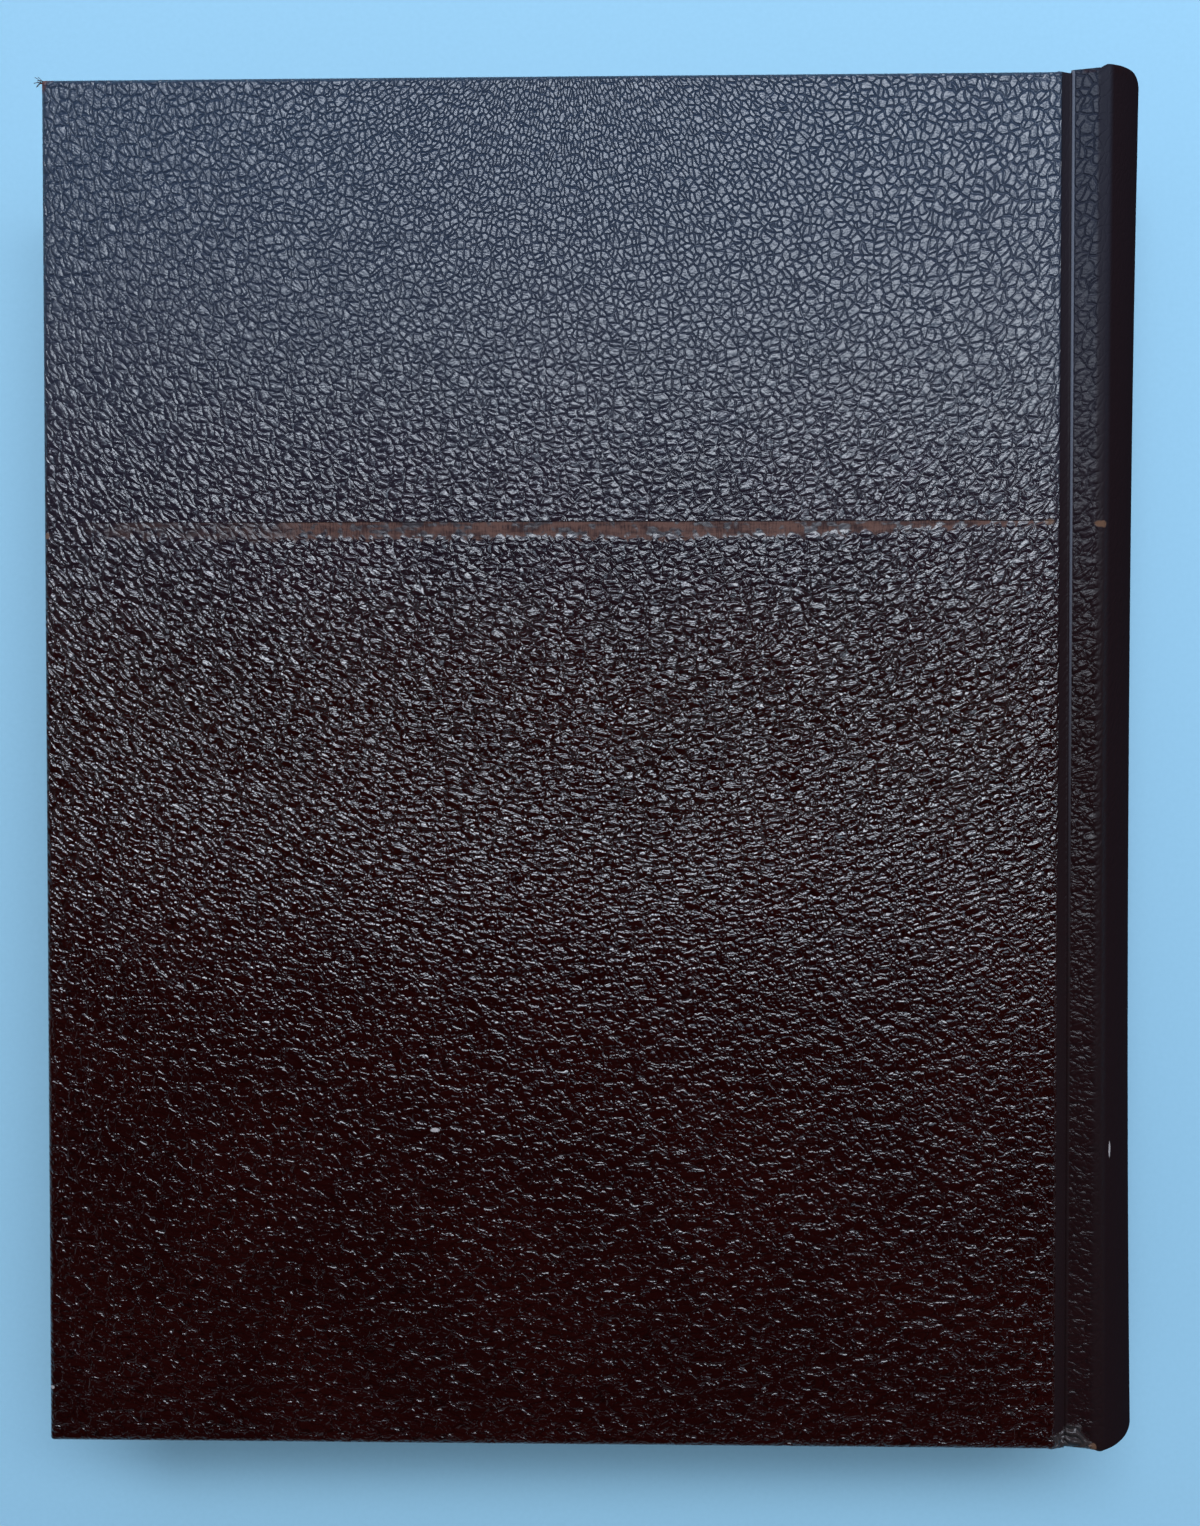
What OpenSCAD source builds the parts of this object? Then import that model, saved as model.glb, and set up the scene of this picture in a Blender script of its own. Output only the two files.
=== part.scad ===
// Large leather-bound book lying closed on its front cover: spine at +X, head at +Y.
// A rounded and backed block of leaves sits between two boards hinged at outer joints.
// The origin is the middle of the resting face; lengths are millimetres.

/* [Leaves] */
// Width of one leaf, from the spine to the fore-edge
leaf_w = 221.5; // [190:0.5:240]
// Height of one leaf, from tail to head
leaf_h = 282; // [230:1:320]
// Thickness of all the leaves pressed together
leaves_t = 32.4; // [26:0.2:44]
// Thickness of one endpaper
endpaper_t = 0.25; // [0.15:0.05:0.4]

/* [Boards] */
// Thickness of the millboard in each cover
board_t = 2.5; // [1.8:0.1:4]
// How far the covers stand out past the leaves at head, tail and fore-edge
square_w = 4; // [3:0.25:6]
// Free space between each cover and the flyleaf under it
cover_gap = 0.2; // [0.1:0.05:0.4]
// Free space between a board's spine edge and the shoulder beside it
joint_gap = 0.5; // [0.3:0.05:0.8]

/* [Leather] */
// Thickness of the leather on the outside
leather_t = 1; // [0.8:0.05:1.3]
// Thickness of the pared leather turned in on the boards, and of the card that levels it
turn_in_t = 0.6; // [0.4:0.05:0.9]
// Width of the leather turned in on the boards
turn_in_w = 15; // [12:0.5:20]
// Width of turned-in leather left bare round the pastedown
bare_turn_in_w = 6; // [4:0.5:9]
// Rounding of the outer edges of the covers and the spine
edge_r = 1.3; // [0.8:0.1:1.8]
// Rounding of the edges that face the leaves
inner_edge_r = 0.5; // [0.3:0.05:0.6]
// Rounding of the covers' corners at the fore-edge, seen from above
corner_r = 1.8; // [1.4:0.1:3]

/* [Joint] */
// Width of the flat bottom of the groove along each joint
groove_w = 2.4; // [1.6:0.1:4]
// Depth of the groove below the face of the cover
groove_d = 1.1; // [0.8:0.05:1.4]
// Slope of the ridge between the groove and the crest, in degrees
ridge_slope = 11.5; // [9:0.5:15]
// Height of the hinge line above the face of the cover
hinge_lift = 0.3; // [0.2:0.05:0.5]

/* [Spine] */
// Radius of the crest where the ridge turns over onto the spine
crest_r = 3.5; // [3:0.1:4.5]
// Angle of the spine's arc on each side of its middle, in degrees
spine_half_angle = 58; // [50:1:64]
// Thickness of the card that stiffens the spine
stiffener_t = 0.8; // [0.5:0.05:1.2]
// Space between the stiffener and the lining, which opens with the book
hollow_gap = 0.4; // [0.2:0.05:0.8]
// Thickness of the cloth and paper lining glued on the leaves
lining_t = 0.6; // [0.5:0.05:0.9]
// Thickness of the leather folded over at the head and tail of the spine
cap_t = 1.6; // [1.2:0.1:1.8]
// Depth that the folded leather reaches in over the headbands
cap_depth = 3.2; // [2.4:0.1:3.4]
// How far the folded leather stands out past the covers at head and tail
cap_rise = 1.5; // [0:0.1:2]
// Rounding of the spine's corners at head and tail, seen from above
cap_corner_r = 3; // [2:0.1:3.4]

/* [Sewing] */
// Number of tapes that the gatherings are sewn onto
tape_count = 5; // [5]
// Width of one tape
tape_w = 14; // [10:1:18]
// Thickness of one tape
tape_t = 0.35; // [0.2:0.05:0.4]
// Distance of the outer tapes' middles from the head and the tail
tape_end = 32; // [24:1:44]
// Diameter of the cord inside each headband
headband_d = 2.2; // [1.6:0.1:2.2]
// Angle of a headband's arc on each side of its middle, in degrees
headband_half_angle = 44; // [36:1:48]

/* [Hidden] */
fine = 180;
small = 40;
over = 1;

// Depths of the layers below a cover's outer face
board_top = leather_t;
board_bottom = board_top + board_t;
turn_in_bottom = board_bottom + turn_in_t;
pastedown_bottom = turn_in_bottom + endpaper_t;
flyleaf_top = pastedown_bottom + cover_gap;
flyleaf_bottom = flyleaf_top + endpaper_t;

// Overall thickness and height
book_t = leaves_t + 2 * flyleaf_bottom;
half_t = book_t / 2;
book_h = leaf_h + 2 * square_w;
cap_inside_h = book_h - 2 * cap_t;
cap_h = book_h + 2 * cap_rise;

// Spine circle, with its centre at x = 0 in the section, and the crest's circle inside it
spine_r = crest_r + (half_t - crest_r) / sin(spine_half_angle);
crest_x = (spine_r - crest_r) * cos(spine_half_angle);
crest_z = half_t - crest_r;
lining_r = spine_r - leather_t - stiffener_t - hollow_gap;
leaves_r = lining_r - lining_t;

// Joint: the ridge comes down from the crest to the groove's flat bottom
ridge_angle = 90 + ridge_slope;
function ridge_top(d) = [
    crest_x + (crest_r - d) * cos(ridge_angle),
    crest_z + (crest_r - d) * sin(ridge_angle)
];
function groove_z(d) = half_t - groove_d - d;
function ridge_foot(d) = ridge_top(d)[0] - (ridge_top(d)[1] - groove_z(d)) / tan(ridge_slope);
groove_right = ridge_foot(0);
groove_left = groove_right - groove_w;
hinge_x = groove_right - groove_w / 2;
board_right = groove_left - leather_t;
shoulder_x = board_right + joint_gap;

// Fore-edge: every leaf is as wide as the next, so the fore-edge repeats the spine's curve
outer_leaf_x = sqrt(pow(leaves_r, 2) - pow(leaves_t / 2, 2)) - leaf_w;
fore_edge_x = outer_leaf_x - square_w;
middle_x = (fore_edge_x + spine_r) / 2;

// Colours of the pieces
leather_colour = [0.17, 0.07, 0.07];
paper_colour = [0.88, 0.82, 0.68];
card_colour = [0.55, 0.50, 0.42];
cloth_colour = [0.80, 0.76, 0.66];
silk_colour = [0.48, 0.12, 0.12];

// Moves a solid from the section's own place to the model's frame
module placed() {
    translate([-middle_x, 0, half_t]) children();
}

// Draws a section in x and z along y
module along_y(length) {
    rotate([90, 0, 0]) linear_extrude(height = length, center = true) children();
}

// Draws a section in y and z along x
module along_x(from_x, to_x) {
    translate([from_x, 0, 0])
        rotate([90, 0, 90]) linear_extrude(height = to_x - from_x) children();
}

// Rectangle between two corners
module area(low, high) {
    translate(low) square(high - low);
}

// Box between two corners
module block(low, high) {
    translate(low) cube(high - low);
}

// What a rounding of radius r takes off a corner; side is the direction of the corner
module corner_cut(corner, side, r) {
    inside = corner - r * side;
    difference() {
        area(
            [min(corner[0] + over * side[0], inside[0]), min(corner[1] + over * side[1], inside[1])],
            [max(corner[0] + over * side[0], inside[0]), max(corner[1] + over * side[1], inside[1])]
        );
        translate(inside) circle(r = r, $fn = small);
    }
}

// What the crest's rounding takes off the corner between the spine's arc and the ridge
module crest_cut(d) {
    reach = 2 * crest_r;
    translate([crest_x, crest_z]) difference() {
        polygon([
            [0, 0],
            reach * [cos(spine_half_angle), sin(spine_half_angle)],
            reach * [cos(ridge_angle), sin(ridge_angle)]
        ]);
        circle(r = crest_r - d, $fn = small);
    }
}

// Everything inside the spine's leather at depth d, from the given x to the spine
module spine_section(d, left) {
    far_x = spine_r + over;
    far_z = groove_z(d) + (far_x - ridge_foot(d)) * tan(ridge_slope);
    difference() {
        intersection() {
            circle(r = spine_r - d, $fn = fine);
            polygon([
                [left, -groove_z(d)],
                [ridge_foot(d), -groove_z(d)],
                [far_x, -far_z],
                [far_x, far_z],
                [ridge_foot(d), groove_z(d)],
                [left, groove_z(d)]
            ]);
        }
        if (d < crest_r - 0.1) {
            crest_cut(d);
            mirror([0, 1]) crest_cut(d);
        }
    }
}

// Ring between two radii of the spine, as far out as the inside of the leather
module spine_layer(inner_r, outer_r) {
    intersection() {
        difference() {
            circle(r = outer_r, $fn = fine);
            circle(r = inner_r, $fn = fine);
        }
        spine_section(leather_t, shoulder_x);
    }
}

// Outline of a cover from above, with rounded corners at the fore-edge
module cover_plan() {
    difference() {
        area([fore_edge_x, -book_h / 2], [hinge_x, book_h / 2]);
        for (side = [-1, 1]) {
            corner_cut([fore_edge_x, side * book_h / 2], [-1, side], corner_r);
        }
    }
}

// Outline of the spine from above: the caps rise past the covers from the groove to the crest
module spine_plan() {
    difference() {
        polygon([
            [hinge_x, -book_h / 2],
            [groove_right, -book_h / 2],
            [crest_x + crest_r, -cap_h / 2],
            [spine_r, -cap_h / 2],
            [spine_r, cap_h / 2],
            [crest_x + crest_r, cap_h / 2],
            [groove_right, book_h / 2],
            [hinge_x, book_h / 2]
        ]);
        for (side = [-1, 1]) {
            corner_cut([spine_r, side * cap_h / 2], [1, side], cap_corner_r);
        }
    }
}

// Leaves with their convex spine, hollow fore-edge and square shoulders
module leaves() {
    color(paper_colour) placed() along_y(leaf_h) difference() {
        union() {
            area([outer_leaf_x - over, -leaves_t / 2], [shoulder_x + over, leaves_t / 2]);
            intersection() {
                spine_section(leather_t, shoulder_x);
                circle(r = leaves_r, $fn = fine);
            }
        }
        translate([-leaf_w, 0]) intersection() {
            circle(r = leaves_r, $fn = fine);
            area([0, -half_t], [spine_r, half_t]);
        }
    }
}

// Middle of a sewing tape along the spine
function tape_y(n) = let (reach = leaf_h / 2 - tape_end) -reach + (n - 1) * 2 * reach / (tape_count - 1);

// One linen tape across the spine, which the gatherings are sewn onto
module sewing_tape(n) {
    color(cloth_colour) placed() translate([0, tape_y(n), 0])
        along_y(tape_w) spine_layer(leaves_r, leaves_r + tape_t);
}

// Cloth and paper glued over the sewn spine and round the tapes
module spine_lining() {
    color(cloth_colour) difference() {
        placed() along_y(leaf_h) spine_layer(leaves_r, lining_r);
        for (n = [1:tape_count]) {
            sewing_tape(n);
        }
    }
}

// Worked band over the end of the leaves at the spine; side is 1 at the head, -1 at the tail
module headband(side) {
    color(silk_colour) placed()
        translate([0, side * (leaf_h + headband_d) / 2, 0]) rotate([90, headband_half_angle, 0])
            rotate_extrude(angle = 2 * headband_half_angle, $fn = fine)
                translate([leaves_r - headband_d / 4, 0]) circle(d = headband_d, $fn = small);
}

// Curved card that keeps the spine's leather round
module spine_stiffener() {
    color(card_colour) placed()
        along_y(cap_inside_h) spine_layer(lining_r + hollow_gap, spine_r - leather_t);
}

// Leather over the spine and both joints, folded in at the head and the tail
module spine_leather() {
    color(leather_colour) placed() difference() {
        intersection() {
            along_y(cap_h) spine_section(0, hinge_x);
            translate([0, 0, -half_t - over]) linear_extrude(height = book_t + 2 * over) spine_plan();
            along_x(hinge_x, spine_r + over) difference() {
                area([-cap_h / 2, -half_t], [cap_h / 2, half_t]);
                for (side = [-1, 1], face = [-1, 1]) {
                    corner_cut([side * cap_h / 2, face * half_t], [side, face], edge_r);
                }
            }
        }
        along_y(cap_inside_h) spine_section(leather_t, hinge_x - over);
        along_y(cap_h + 2 * over) spine_section(cap_depth, hinge_x - over);
    }
}

// Free endpaper on the leaves under the back cover
module flyleaf() {
    color(paper_colour) placed() block(
        [outer_leaf_x, -leaf_h / 2, half_t - flyleaf_bottom],
        [shoulder_x, leaf_h / 2, half_t - flyleaf_top]
    );
}

// Section of the covered board, with the leather that crosses the joint as far as the hinge
module cover_section() {
    difference() {
        area([fore_edge_x, half_t - turn_in_bottom], [groove_left, half_t]);
        corner_cut([fore_edge_x, half_t], [-1, 1], edge_r);
        corner_cut([fore_edge_x, half_t - turn_in_bottom], [-1, -1], inner_edge_r);
        corner_cut([groove_left, half_t], [1, 1], groove_d * 0.7);
        area([board_right, half_t - turn_in_bottom - over], [groove_left + over, groove_z(leather_t)]);
    }
    area([board_right, groove_z(leather_t)], [hinge_x, groove_z(0)]);
}

// Leather over the back board's outside and its three edges, turned in on the inside
module cover_leather() {
    color(leather_colour) placed() difference() {
        intersection() {
            along_y(book_h) cover_section();
            translate([0, 0, half_t - turn_in_bottom - over])
                linear_extrude(height = turn_in_bottom + 2 * over) cover_plan();
            along_x(fore_edge_x, hinge_x + over) difference() {
                area([-book_h / 2, half_t - turn_in_bottom], [book_h / 2, half_t]);
                for (side = [-1, 1]) {
                    corner_cut([side * book_h / 2, half_t], [side, 1], edge_r);
                    corner_cut([side * book_h / 2, half_t - turn_in_bottom], [side, -1], inner_edge_r);
                }
            }
        }
        board_volume();
        infill_volume(over);
    }
}

// Space that a board fills inside its leather
module board_volume() {
    block(
        [fore_edge_x + leather_t, leather_t - book_h / 2, half_t - board_bottom],
        [board_right, book_h / 2 - leather_t, half_t - board_top]
    );
}

// Space inside the turned-in leather; extra carries it past the open side for a clean cut
module infill_volume(extra) {
    block(
        [fore_edge_x + turn_in_w, turn_in_w - book_h / 2, half_t - turn_in_bottom - extra],
        [board_right + extra, book_h / 2 - turn_in_w, half_t - board_bottom]
    );
}

// Millboard of the back cover
module board() {
    color(card_colour) placed() board_volume();
}

// Card that levels the inside of the back board with the turned-in leather
module infill() {
    color(card_colour) placed() infill_volume(0);
}

// Endpaper pasted inside the back cover, over the infill and the turned-in leather
module pastedown() {
    color(paper_colour) placed() block(
        [fore_edge_x + bare_turn_in_w, bare_turn_in_w - book_h / 2, half_t - pastedown_bottom],
        [board_right, book_h / 2 - bare_turn_in_w, half_t - turn_in_bottom]
    );
}

// Turns a piece of the back cover over to the front one
module as_front() {
    translate([0, 0, book_t]) mirror([0, 0, 1]) children();
}

leaves();
spine_lining();
headband(1);  // head_band
headband(-1);  // tail_band
spine_stiffener();
spine_leather();
as_front() flyleaf();  // front_flyleaf
flyleaf();  // back_flyleaf
sewing_tape(1);  // sewing_tape_1
sewing_tape(2);  // sewing_tape_2
sewing_tape(3);  // sewing_tape_3
sewing_tape(4);  // sewing_tape_4
sewing_tape(5);  // sewing_tape_5
as_front() board();  // front_board
as_front() cover_leather();  // front_leather
as_front() infill();  // front_infill
as_front() pastedown();  // front_pastedown
board();  // back_board
cover_leather();  // back_leather
infill();  // back_infill
pastedown();  // back_pastedown
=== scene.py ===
# A large old book bound in oxblood goatskin, lying closed on its front cover
import math

import bpy
import numpy as np
from mathutils import Matrix, Vector


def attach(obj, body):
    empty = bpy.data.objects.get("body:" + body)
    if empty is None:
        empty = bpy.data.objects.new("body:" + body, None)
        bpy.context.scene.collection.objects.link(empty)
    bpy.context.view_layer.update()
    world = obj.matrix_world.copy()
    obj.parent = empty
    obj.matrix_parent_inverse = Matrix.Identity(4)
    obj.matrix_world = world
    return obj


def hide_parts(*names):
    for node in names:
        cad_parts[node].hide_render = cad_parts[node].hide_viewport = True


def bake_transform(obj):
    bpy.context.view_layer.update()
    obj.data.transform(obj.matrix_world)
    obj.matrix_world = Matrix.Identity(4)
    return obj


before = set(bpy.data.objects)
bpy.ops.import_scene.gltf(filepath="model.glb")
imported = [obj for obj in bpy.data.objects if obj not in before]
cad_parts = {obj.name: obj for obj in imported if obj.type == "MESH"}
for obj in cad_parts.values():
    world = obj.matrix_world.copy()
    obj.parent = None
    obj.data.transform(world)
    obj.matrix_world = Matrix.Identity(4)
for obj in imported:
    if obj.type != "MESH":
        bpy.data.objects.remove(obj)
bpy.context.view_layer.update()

scene = bpy.context.scene
scene.view_settings.view_transform = "Standard"

# Sizes in millimetres. They repeat the part's source.
book = {
    "leafWidth": 221.5,
    "leafHeight": 282.0,
    "leavesThick": 32.4,
    "endpaper": 0.25,
    "board": 2.5,
    "square": 4.0,
    "coverGap": 0.2,
    "jointGap": 0.5,
    "leather": 1.0,
    "turnIn": 0.6,
    "bareTurnIn": 6.0,
    "grooveWidth": 2.4,
    "grooveDepth": 1.1,
    "ridgeSlope": 11.5,
    "crestRound": 3.5,
    "halfAngle": 58.0,
    "stiffener": 0.8,
    "hollow": 0.4,
    "lining": 0.6,
    "capInside": 1.6,
    "capDepth": 3.2,
    "headband": 2.2,
    "headbandHalfAngle": 44.0,
}

# The section has its origin at the middle of the spine's circle
turnInDepth = book["leather"] + book["board"] + book["turnIn"]
flyleafDepth = turnInDepth + book["endpaper"] + book["coverGap"]
halfThick = book["leavesThick"] / 2 + flyleafDepth + book["endpaper"]
halfHeight = book["leafHeight"] / 2 + book["square"]
spineAngle = math.radians(book["halfAngle"])
ridgeAngle = math.radians(90 + book["ridgeSlope"])
crestR = book["crestRound"]
spineR = crestR + (halfThick - crestR) / math.sin(spineAngle)
crestX = (spineR - crestR) * math.cos(spineAngle)
crestZ = halfThick - crestR
leavesR = spineR - book["leather"] - book["stiffener"] - book["hollow"] - book["lining"]
ridgeTop = (crestX + crestR * math.cos(ridgeAngle), crestZ + crestR * math.sin(ridgeAngle))
grooveZ = halfThick - book["grooveDepth"]
grooveRight = ridgeTop[0] - (ridgeTop[1] - grooveZ) / math.tan(math.radians(book["ridgeSlope"]))
grooveLeft = grooveRight - book["grooveWidth"]
boardRight = grooveLeft - book["leather"]
shoulderX = boardRight + book["jointGap"]
outerLeafX = math.sqrt(leavesR**2 - (book["leavesThick"] / 2) ** 2) - book["leafWidth"]
foreX = outerLeafX - book["square"]
middleX = (foreX + spineR) / 2


def smooth(t):
    t = np.clip(t, 0, 1)
    return t * t * (3 - 2 * t)


def placed(points):
    # From the section's own place, in millimetres, to the frame, in metres
    return (np.asarray(points, float) + (-middleX, 0, halfThick)) / 1000


def meshPiece(name, points, faces, material, smoothed=True):
    mesh = bpy.data.meshes.new(name)
    mesh.from_pydata(placed(points).tolist(), [], faces)
    mesh.materials.append(material)
    mesh.polygons.foreach_set("use_smooth", [smoothed] * len(mesh.polygons))
    mesh.update()
    piece = bpy.data.objects.new(name, mesh)
    scene.collection.objects.link(piece)
    return piece


def applied(piece):
    # The piece with its modifiers made into plain mesh
    mesh = bpy.data.meshes.new_from_object(piece.evaluated_get(bpy.context.evaluated_depsgraph_get()))
    piece.modifiers.clear()
    piece.data = mesh
    return piece


def bridge(first, second, closed=False):
    # Quads between two rows of point numbers
    count = len(first) if closed else len(first) - 1
    return [
        (first[i], first[(i + 1) % len(first)], second[(i + 1) % len(first)], second[i])
        for i in range(count)
    ]


def spacing(low, high, step, fine, reach):
    # Positions from low to high, finer within reach of both ends
    ends = np.arange(0, reach, fine)
    inner = np.linspace(low + reach, high - reach, max(2, round((high - low - 2 * reach) / step)))
    return np.concatenate([low + ends, inner, (high - ends)[::-1]])


# Shader maths


class Val:
    # A node socket whose arithmetic adds Math nodes
    def __init__(self, nodes, socket):
        self.nodes, self.socket = nodes, socket

    def math(self, operation, *others):
        inputs = {0: self, **{i + 1: other for i, other in enumerate(others)}}
        return self.nodes.add("ShaderNodeMath", {"operation": operation}, inputs)

    def __add__(self, other):
        return self.math("ADD", other)

    __radd__ = __add__

    def __mul__(self, other):
        return self.math("MULTIPLY", other)

    __rmul__ = __mul__

    def __sub__(self, other):
        return self.math("SUBTRACT", other)

    def __rsub__(self, other):
        return self * -1 + other

    def __truediv__(self, other):
        return self.math("DIVIDE", other)

    def __pow__(self, other):
        return self.math("POWER", other)

    def abs(self):
        return self.math("ABSOLUTE")

    def lowest(self, other):
        return self.math("MINIMUM", other)

    def highest(self, other):
        return self.math("MAXIMUM", other)

    def ramp(self, low, high):
        # 0 below low, 1 above high, smooth between; low may be the greater
        if low > high:
            return 1 - self.ramp(high, low)
        return self.nodes.add(
            "ShaderNodeMapRange", {"interpolation_type": "SMOOTHSTEP"}, {0: self, 1: low, 2: high}
        )

    def output(self, name):
        # Another output of the same node
        return Val(self.nodes, self.socket.node.outputs[name])

    def parts(self):
        split = self.nodes.add("ShaderNodeSeparateXYZ", {}, {0: self})
        return [split.output(axis) for axis in "XYZ"]


class Nodes:
    def __init__(self, tree, reach="3D"):
        self.tree, self.reach = tree, reach

    def add(self, kind, settings=None, inputs=None, output=0):
        node = self.tree.nodes.new(kind)
        for key, value in (settings or {}).items():
            setattr(node, key, value)
        for key, value in (inputs or {}).items():
            if isinstance(value, Val):
                self.tree.links.new(value.socket, node.inputs[key])
            else:
                node.inputs[key].default_value = value
        return Val(self, node.outputs[output]) if node.outputs else node

    def place(self):
        # Object coordinates in millimetres
        coords = self.add("ShaderNodeTexCoord", output="Object")
        return self.add("ShaderNodeVectorMath", {"operation": "SCALE"}, {0: coords, "Scale": 1000.0})

    def joined(self, x, y, z):
        return self.add("ShaderNodeCombineXYZ", {}, {0: x, 1: y, 2: z})

    def vector(self, operation, first, second):
        return self.add("ShaderNodeVectorMath", {"operation": operation}, {0: first, 1: second})

    def noise(self, place, size, detail=2.0, roughness=0.5, output="Fac"):
        inputs = {"Vector": place, "Scale": 1 / size, "Detail": detail, "Roughness": roughness}
        return self.add("ShaderNodeTexNoise", {"noise_dimensions": self.reach}, inputs, output)

    def waves(self, place, size, detail, reach):
        # Noise round 0, up to half of reach each way
        return (self.noise(place, size, detail) - 0.5) * reach

    def cells(self, place, size, feature="F1"):
        settings = {"feature": feature, "voronoi_dimensions": self.reach}
        return self.add("ShaderNodeTexVoronoi", settings, {"Vector": place, "Scale": 1 / size}, "Distance")

    def mixed(self, factor, first, second):
        return self.add("ShaderNodeMix", {"data_type": "RGBA"}, {0: factor, 6: first, 7: second}, 2)

    def bump(self, height):
        # The height is in millimetres
        inputs = {"Height": height, "Distance": 0.001, "Strength": 1.0}
        return self.add("ShaderNodeBump", {}, inputs, "Normal")

    def surface(self, colour, roughness, specular, normal=None):
        inputs = {"Base Color": colour, "Roughness": roughness, "Specular IOR Level": specular}
        if normal is not None:
            inputs["Normal"] = normal
        return self.add("ShaderNodeBsdfPrincipled", {}, inputs)

    def light(self, kind, colour, strength):
        return self.add(kind, {}, {"Color": colour, "Strength": strength})

    def blended(self, factor, first, second):
        return self.add("ShaderNodeMixShader", {}, {0: factor, 1: first, 2: second})


def newMaterial(name, recipe):
    material = bpy.data.materials.new(name)
    material.use_nodes = True
    tree = material.node_tree
    tree.nodes.clear()
    nodes = Nodes(tree)
    shader = recipe(nodes)
    nodes.add("ShaderNodeOutputMaterial", {}, {"Surface": shader})
    return material


# The leather: pebbles that follow the skin's flow, and the wear of long use

leatherLook = {
    # Colours, and a painted bluish sheen that grows towards the head
    "colour": (0.0078, 0.0008, 0.0007, 1),
    "warmer": (0.0098, 0.0011, 0.0009, 1),
    # Painted shade in the crevices between the pebbles
    "paintedCreviceShade": (0.0045, 0.0006, 0.0006, 1),
    "paintedSheen": (0.0170, 0.0310, 0.0560, 1),
    "paintedSheenShare": 0.8,
    "paintedSheenFrom": (10, 155),
    "dullColour": (0.0080, 0.0042, 0.0050, 1),
    # Colour of a painted highlight: the thin bright line at the foot of the ridge
    "paintedLineHighlight": (0.085, 0.092, 0.115, 1),
    # Shine
    "roughness": 0.14,
    "roughnessRange": 0.10,
    "topRoughness": 0.19,
    "topFrom": (-15, 120),
    "gloss": 0.5,
    "spineRoughness": 0.27,
    "spineGloss": 0.30,
    # Grain: sizes and depths in millimetres, zones as heights on the cover
    "pebble": 1.72,
    "pebbleDepth": 0.19,
    "pebbleEdge": 0.20,
    "pebbleStretch": 0.61,
    "dome": 1.4,
    "domeDepth": 0.275,
    "wander": 1.3,
    "wanderSize": 2.6,
    "knobDepth": 0.050,
    "bead": 0.7,
    "beadDepth": 0.155,
    "beadFrom": (110, -20),
    "roundFrom": (135, 10),
    "creaseDepth": 0.30,
    "creaseEdge": 0.42,
    "creaseFrom": (-80, 15),
    "creaseCalm": 0.92,
    "calmFrom": (10, 100),
    "swell": 5.0,
    "swellDepth": 0.11,
    # The flow runs in wide arcs round a point beyond the head
    "flowCentre": (-6.0, 178.0),
    "flowWide": 1.12,
    "flowRadius": 140.0,
    # The sides of the covers carry on from their faces by this share of the drop
    "sideShift": (0.6, 0.5),
    "backFrom": (6, 8),
    # Where the skin is smooth, and how far it is rubbed dull
    "ridgeSmooth": (99.8, 99.4),
    "backSmooth": (103.8, 105.0, 0.72),
    "jointSmooth": (-0.05, 0.2, 0.86),
    "insideSmooth": (17.6, 17.2, 0.6),
    "mitreWidth": (0.28, 0.05),
    "mitreReach": (-100, -103),
    "mitreDepth": 0.3,
    # Where the painted highlight line runs, and how it fades towards the tail
    "paintedLinePlace": (98.9, 99.05, 99.65, 99.35),
    "paintedLineFrom": (-60, 110),
    "rubbed": 0.50,
    "crestRubbed": (103.6, 104.4, 0.22),
    "backRubbed": (106.2, 107.6, 0.25),
    "jointRubbed": (-0.2, 0.2, 0.85),
    # What worn, smooth and crumpled leather adds to the roughness
    "wornRoughness": 0.42,
    "calmRoughness": 0.24,
    "crumpleRoughness": -0.02,
}


wear = {
    "scuffTop": 51.5,
    "scuffFoot": 48.0,
    "scuffNarrows": (28.0, 92.0, 2.7),
    "scuffBright": (-72.0, -60.0),
    "scuffFaint": (-112.0, -104.0, 0.38),
    "scuffEnd": (96.1, 94.1),
    "scuffWaves": ((9.0, 0.5), (14.0, 1.6)),
    "scuffRagged": 3.6,
    "scuffPatches": (0.98, 0.80, 0.75),
    "scuffDepth": 0.10,
    "scuffDull": 0.85,
    "scuffPale": (0.074, 0.037, 0.029, 1),
    "scuffDark": (0.020, 0.009, 0.009, 1),
    "bareHide": (0.080, 0.042, 0.026, 1),
    "coverSpots": (((94.6, 51.2), (1.0, 0.55)), ((-117.0, 48.7), (0.5, 0.6))),
    "spineSpots": (((105.2, 50.9), (1.3, 0.8)), ((104.7, -144.4), (0.9, 0.9))),
    "nicks": (
        ((-34.8, -77.4), (1.0, 0.4)),
        ((-117.1, -133.2), (0.5, 0.4)),
        ((108.4, -81.3), (0.22, 1.6)),
    ),
    "nickPale": (0.24, 0.22, 0.22, 1),
    "corner": (-118.3, 145.3),
    "cornerReach": (3.3, 1.485),
    "cornerColour": (0.085, 0.022, 0.015, 1),
    # Left side, its top, slope, highest top, right side, its foot and lean
    "crumple": (96.5, -142.1, 0.66, -139.9, 105.2, -145.4, 0.58),
    "crumpleColour": (0.030, 0.024, 0.024, 1),
    "crumpleShine": 0.8,
    "crumpleFlat": 0.85,
    "foldDepth": 2.3,
    "tornEdge": 2.2,
    "rimColour": (0.030, 0.0055, 0.0040, 1),
    "rimSide": (117.1, 117.7),
    "rimEnd": (144.3, 144.9),
    "flattened": 0.86,
}


def spot(x, y, ragged, marks):
    # 1 inside the ovals, with a ragged outline
    mask = None
    for centre, radii in marks:
        across, up = (x - centre[0]) / radii[0], (y - centre[1]) / radii[1]
        one = (across * across + up * up + ragged * 3.0).ramp(1.5, 0.7)
        mask = one if mask is None else mask.highest(one)
    return mask


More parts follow.
